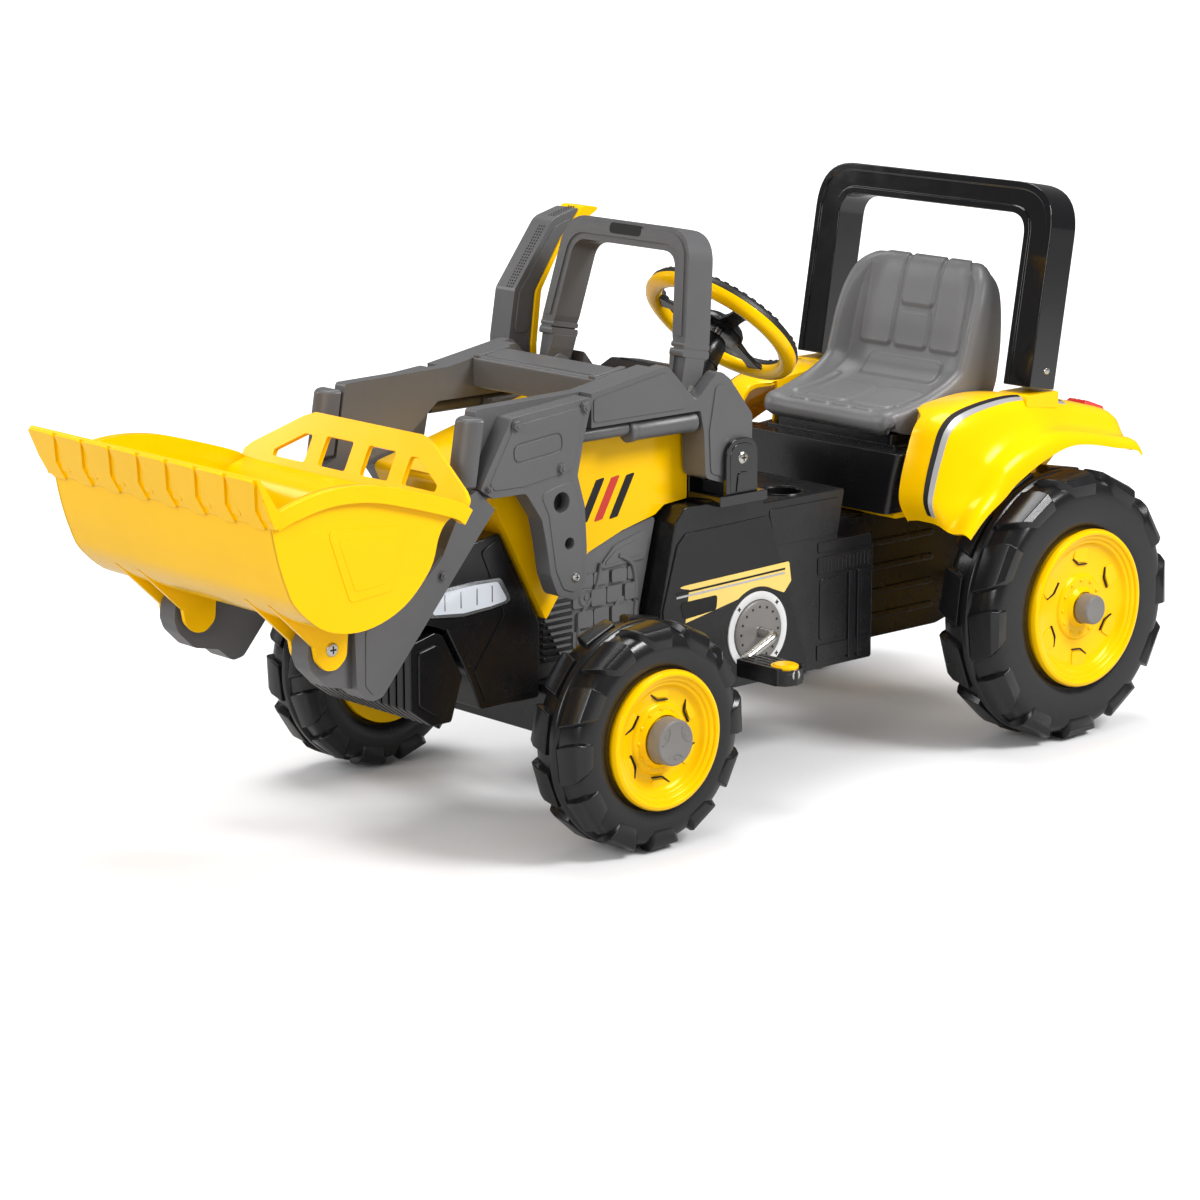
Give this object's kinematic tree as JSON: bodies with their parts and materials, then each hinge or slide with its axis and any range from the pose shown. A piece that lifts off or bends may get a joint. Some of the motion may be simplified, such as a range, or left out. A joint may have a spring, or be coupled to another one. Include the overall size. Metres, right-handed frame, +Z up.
{
  "type": "ride-on pedal loader tractor",
  "caption": "Child's ride-on pedal tractor with a tipping front bucket on lifting arms, bucket seat, roll bar, mudguards and steered front wheels.",
  "frame": {"origin": "middle of the bounding box's floor, on the ground", "axes": "+Y towards the tractor's rear, +Z up, +X towards the driver's left"},
  "size_m": [0.629, 1.424, 0.7054],
  "materials": {
    "yellow": "glossy moulded polypropylene",
    "black": "satin moulded plastic",
    "gloss_black": "glossy moulded plastic",
    "grey": "satin moulded plastic with a fine grain",
    "dark_grey": "satin moulded plastic",
    "tyre_black": "satin blow-moulded plastic",
    "silver": "bright silver lamp moulding",
    "red": "clear red lamp moulding",
    "steel": "zinc-plated"
  },
  "bodies": {
    "tractor": {"chassis_shell": "black", "bonnet": "yellow", "engine_panels": "dark_grey", "front_fascia": "black", "headlights": "silver", "front_weights": "black", "front_axle_beam": "steel", "crank_bushes": "black", "drive_chain": "steel", "seat_base": "black", "seat": "grey", "mudguard": "yellow", "tail_lights": "red", "roll_bar": "gloss_black", "dashboard": "black", "lift_posts": "gloss_black", "lift_pins": "steel", "exhaust_stack": "grey", "stack_trim": "yellow"},
    "knuckle_left": {"front_knuckle_left": "steel"},
    "knuckle_right": {"front_knuckle_right": "steel"},
    "tie_rod": {"tie_rod": "steel"},
    "steering": {"steering_column": "steel", "steering_rim": "yellow", "steering_grip": "black", "steering_hub": "black"},
    "wheel_front_left": {"front_tyre_left": "tyre_black", "front_rim_left": "yellow", "front_cap_left": "grey"},
    "wheel_front_right": {"front_tyre_right": "tyre_black", "front_rim_right": "yellow", "front_cap_right": "grey"},
    "rear_drive": {"rear_axle": "steel", "rear_sprocket": "steel", "rear_tyre_left": "tyre_black", "rear_rim_left": "yellow", "rear_cap_left": "grey"},
    "wheel_rear_right": {"rear_tyre_right": "tyre_black", "rear_rim_right": "yellow", "rear_cap_right": "grey"},
    "crank": {"crankshaft": "steel", "crank_sprocket": "steel"},
    "pedal_left": {"pedal_left": "black", "pedal_insert_left": "yellow"},
    "pedal_right": {"pedal_right": "black", "pedal_insert_right": "yellow"},
    "loader": {"loader_arm_left": "grey", "loader_arm_right": "grey", "loader_plate_left": "grey", "loader_plate_right": "grey", "cross_member": "grey", "nose_cylinders": "grey", "rams": "grey", "loader_bolts": "steel", "hoop_pins": "steel", "bucket_pins": "steel"},
    "handle": {"hoop_handle": "grey"},
    "bucket": {"bucket": "yellow"}
  },
  "joints": [
    {"name": "loader_lift", "type": "hinge", "parent": "tractor", "child": "loader", "pos_m": [0, 0.053, 0.413], "axis": [-1, 0, 0], "range_deg": [-7, 25]},
    {"name": "bucket_tilt", "type": "hinge", "parent": "loader", "child": "bucket", "pos_m": [0, -0.564, 0.2745], "axis": [1, 0, 0], "range_deg": [0, 100]},
    {"name": "handle_tilt", "type": "hinge", "parent": "loader", "child": "handle", "pos_m": [0, -0.006, 0.497], "axis": [1, 0, 0], "range_deg": [0, 25]},
    {"name": "steer_left", "type": "hinge", "parent": "tractor", "child": "knuckle_left", "pos_m": [0.175, -0.2, 0.1355], "axis": [0, 0, 1], "range_deg": [-23, 23]},
    {"name": "steer_right", "type": "hinge", "parent": "tractor", "child": "knuckle_right", "pos_m": [-0.175, -0.2, 0.1355], "axis": [0, 0, 1], "range_deg": [-23, 23]},
    {"name": "steering_turn", "type": "hinge", "parent": "tractor", "child": "steering", "pos_m": [0, 0.169, 0.545], "axis": [0, 0.6769, 0.7361], "range_deg": [-38.2, 38.2]},
    {"name": "tie_rod_slide", "type": "slide", "parent": "tractor", "child": "tie_rod", "axis": [1, 0, 0], "range_m": [-0.0196, 0.0196]},
    {"name": "front_wheel_left_spin", "type": "hinge", "parent": "knuckle_left", "child": "wheel_front_left", "pos_m": [0.25, -0.2, 0.1355], "axis": [1, 0, 0], "continuous": true},
    {"name": "front_wheel_right_spin", "type": "hinge", "parent": "knuckle_right", "child": "wheel_front_right", "pos_m": [-0.25, -0.2, 0.1355], "axis": [1, 0, 0], "continuous": true},
    {"name": "rear_drive_spin", "type": "hinge", "parent": "tractor", "child": "rear_drive", "pos_m": [0, 0.537, 0.175], "axis": [1, 0, 0], "continuous": true},
    {"name": "rear_wheel_right_spin", "type": "hinge", "parent": "tractor", "child": "wheel_rear_right", "pos_m": [-0.25, 0.537, 0.175], "axis": [1, 0, 0], "continuous": true},
    {"name": "crank_spin", "type": "hinge", "parent": "tractor", "child": "crank", "pos_m": [0, 0.105, 0.186], "axis": [1, 0, 0], "continuous": true},
    {"name": "pedal_left_spin", "type": "hinge", "parent": "crank", "child": "pedal_left", "pos_m": [0.216, 0.04965, 0.16285], "axis": [1, 0, 0], "continuous": true},
    {"name": "pedal_right_spin", "type": "hinge", "parent": "crank", "child": "pedal_right", "pos_m": [-0.216, 0.16035, 0.20915], "axis": [1, 0, 0], "continuous": true}
  ],
  "couplings": [
    {"joint": "handle_tilt", "follows": "bucket_tilt", "ratio": 0.25},
    {"joint": "steer_right", "follows": "steer_left", "ratio": 1},
    {"joint": "steering_turn", "follows": "steer_left", "ratio": 1.66},
    {"joint": "tie_rod_slide", "follows": "steer_left", "m_per_rad": -0.0486},
    {"joint": "crank_spin", "follows": "rear_drive_spin", "ratio": 0.68182},
    {"joint": "pedal_left_spin", "follows": "rear_drive_spin", "ratio": -0.68182},
    {"joint": "pedal_right_spin", "follows": "rear_drive_spin", "ratio": -0.68182}
  ]
}
